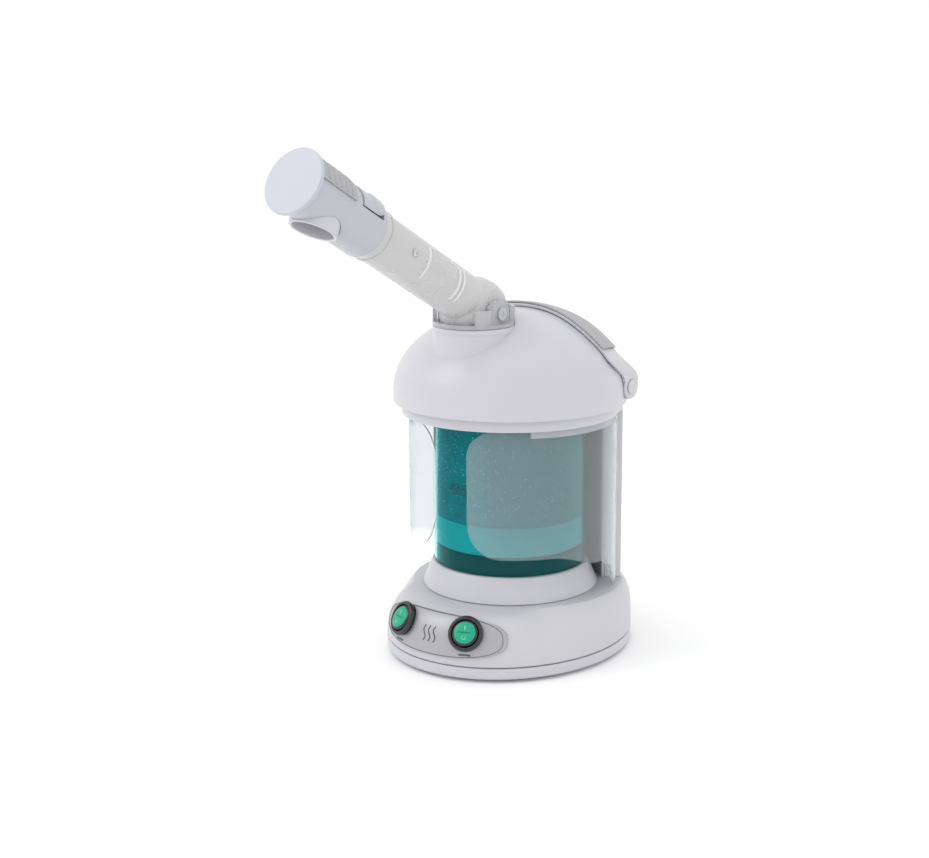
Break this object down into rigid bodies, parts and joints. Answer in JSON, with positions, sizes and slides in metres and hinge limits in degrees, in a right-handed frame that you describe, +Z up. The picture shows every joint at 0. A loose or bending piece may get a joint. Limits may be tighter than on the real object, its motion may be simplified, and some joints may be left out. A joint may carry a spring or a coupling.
{
  "type": "facial steamer",
  "caption": "Table-top facial steamer with a water jar between frosted shields, a hinged dome with carry handle, and a tilting, telescopic steam arm.",
  "frame": {"origin": "centre of the overall bounding box in X and Y, at the bottom of the feet", "axes": "+Z up, -Y towards the user (the arm points to -Y), +X to the user's right when facing the front panel"},
  "size_m": [0.157, 0.2972, 0.3358],
  "materials": {
    "white_shell": "smooth light grey-white",
    "grey_soft": "soft grey",
    "frosted": "frosted translucent",
    "shield_frost": "frosted clear",
    "teal_clear": "clear teal",
    "heater_dark": "dark metal",
    "panel_silver": "fine satin",
    "switch_black": "gloss black",
    "lens_green": "clear green",
    "rubber": "matt",
    "steel": "plain",
    "board": "board",
    "copper": "metal",
    "lamp_glass": "clear"
  },
  "bodies": {
    "base": {"base_shell": "white_shell", "bottom_cover": "white_shell", "foot_front_left": "rubber", "foot_front_right": "rubber", "foot_rear_left": "rubber", "foot_rear_right": "rubber", "cover_screw_1": "steel", "cover_screw_2": "steel", "cover_screw_3": "steel", "cover_screw_4": "steel", "control_panel": "panel_silver", "steam_switch_body": "switch_black", "ozone_switch_body": "switch_black", "jar_cone": "white_shell", "water_jar": "teal_clear", "jar_seal": "rubber", "heater_plate": "heater_dark", "heating_element": "copper", "thermostat": "steel", "control_board": "board", "cord_inlet": "rubber", "wiring_harness": "rubber", "rear_column": "white_shell", "column_cover": "white_shell", "shield_left": "shield_frost", "shield_right": "shield_frost", "shield_bracket_left": "white_shell", "shield_bracket_right": "white_shell", "top_ring": "white_shell", "hinge_bracket": "white_shell", "hinge_pin": "steel"},
    "lid": {"dome_shell": "white_shell", "steam_cover": "white_shell", "steam_duct": "grey_soft", "lamp_holder": "grey_soft", "ozone_lamp": "lamp_glass", "handle_pivot_left": "white_shell", "handle_pivot_right": "white_shell"},
    "handle": {"carry_handle": "white_shell", "handle_grip": "grey_soft"},
    "collar": {"swivel_collar": "frosted", "collar_ring": "grey_soft", "elbow_pin": "white_shell", "pin_cap": "white_shell"},
    "arm": {"elbow_arm": "frosted", "arm_screw": "steel"},
    "slide": {"inner_tube": "frosted", "arm_cuff": "frosted", "tube_seal": "rubber"},
    "nozzle": {"nozzle_body": "white_shell", "end_cap": "white_shell", "outlet_ring": "white_shell", "nozzle_grip": "grey_soft"},
    "catch": {"nozzle_catch": "white_shell"},
    "steam_button": {"steam_rocker": "lens_green"},
    "ozone_button": {"ozone_rocker": "lens_green"}
  },
  "joints": [
    {"name": "lid_hinge", "type": "hinge", "parent": "base", "child": "lid", "pos_m": [0, 0.14066, 0.168], "axis": [-1, 0, 0], "range_deg": [0, 70]},
    {"name": "handle_swing", "type": "hinge", "parent": "lid", "child": "handle", "pos_m": [0, 0.09246, 0.1772], "axis": [-1, 0, 0], "range_deg": [0, 75]},
    {"name": "arm_swivel", "type": "hinge", "parent": "lid", "child": "collar", "pos_m": [0, 0.02026, 0.22], "axis": [0, 0, 1], "range_deg": [-90, 90]},
    {"name": "elbow_tilt", "type": "hinge", "parent": "collar", "child": "arm", "pos_m": [0, 0.02026, 0.2285], "axis": [-1, 0, 0], "range_deg": [-10, 50]},
    {"name": "arm_extend", "type": "slide", "parent": "arm", "child": "slide", "axis": [0, -0.8788, 0.4772], "range_m": [0, 0.045]},
    {"name": "nozzle_spin", "type": "hinge", "parent": "slide", "child": "nozzle", "pos_m": [0, -0.11013, 0.30271], "axis": [0, -0.8788, 0.4772], "continuous": true},
    {"name": "catch_press", "type": "hinge", "parent": "nozzle", "child": "catch", "pos_m": [0.0116, -0.09757, 0.30908], "axis": [-0.7071, 0.3374, 0.6214], "range_deg": [0, 3.5], "stiffness_Nm_per_rad": 0.08, "springref_deg": -5.73},
    {"name": "steam_rocker_tilt", "type": "hinge", "parent": "base", "child": "steam_button", "pos_m": [0.02542, -0.0218, 0.03147], "axis": [0.9352, 0.3542, 0], "range_deg": [0, 12]},
    {"name": "ozone_rocker_tilt", "type": "hinge", "parent": "base", "child": "ozone_button", "pos_m": [-0.02542, -0.0218, 0.03147], "axis": [0.9352, -0.3542, 0], "range_deg": [0, 12]}
  ]
}
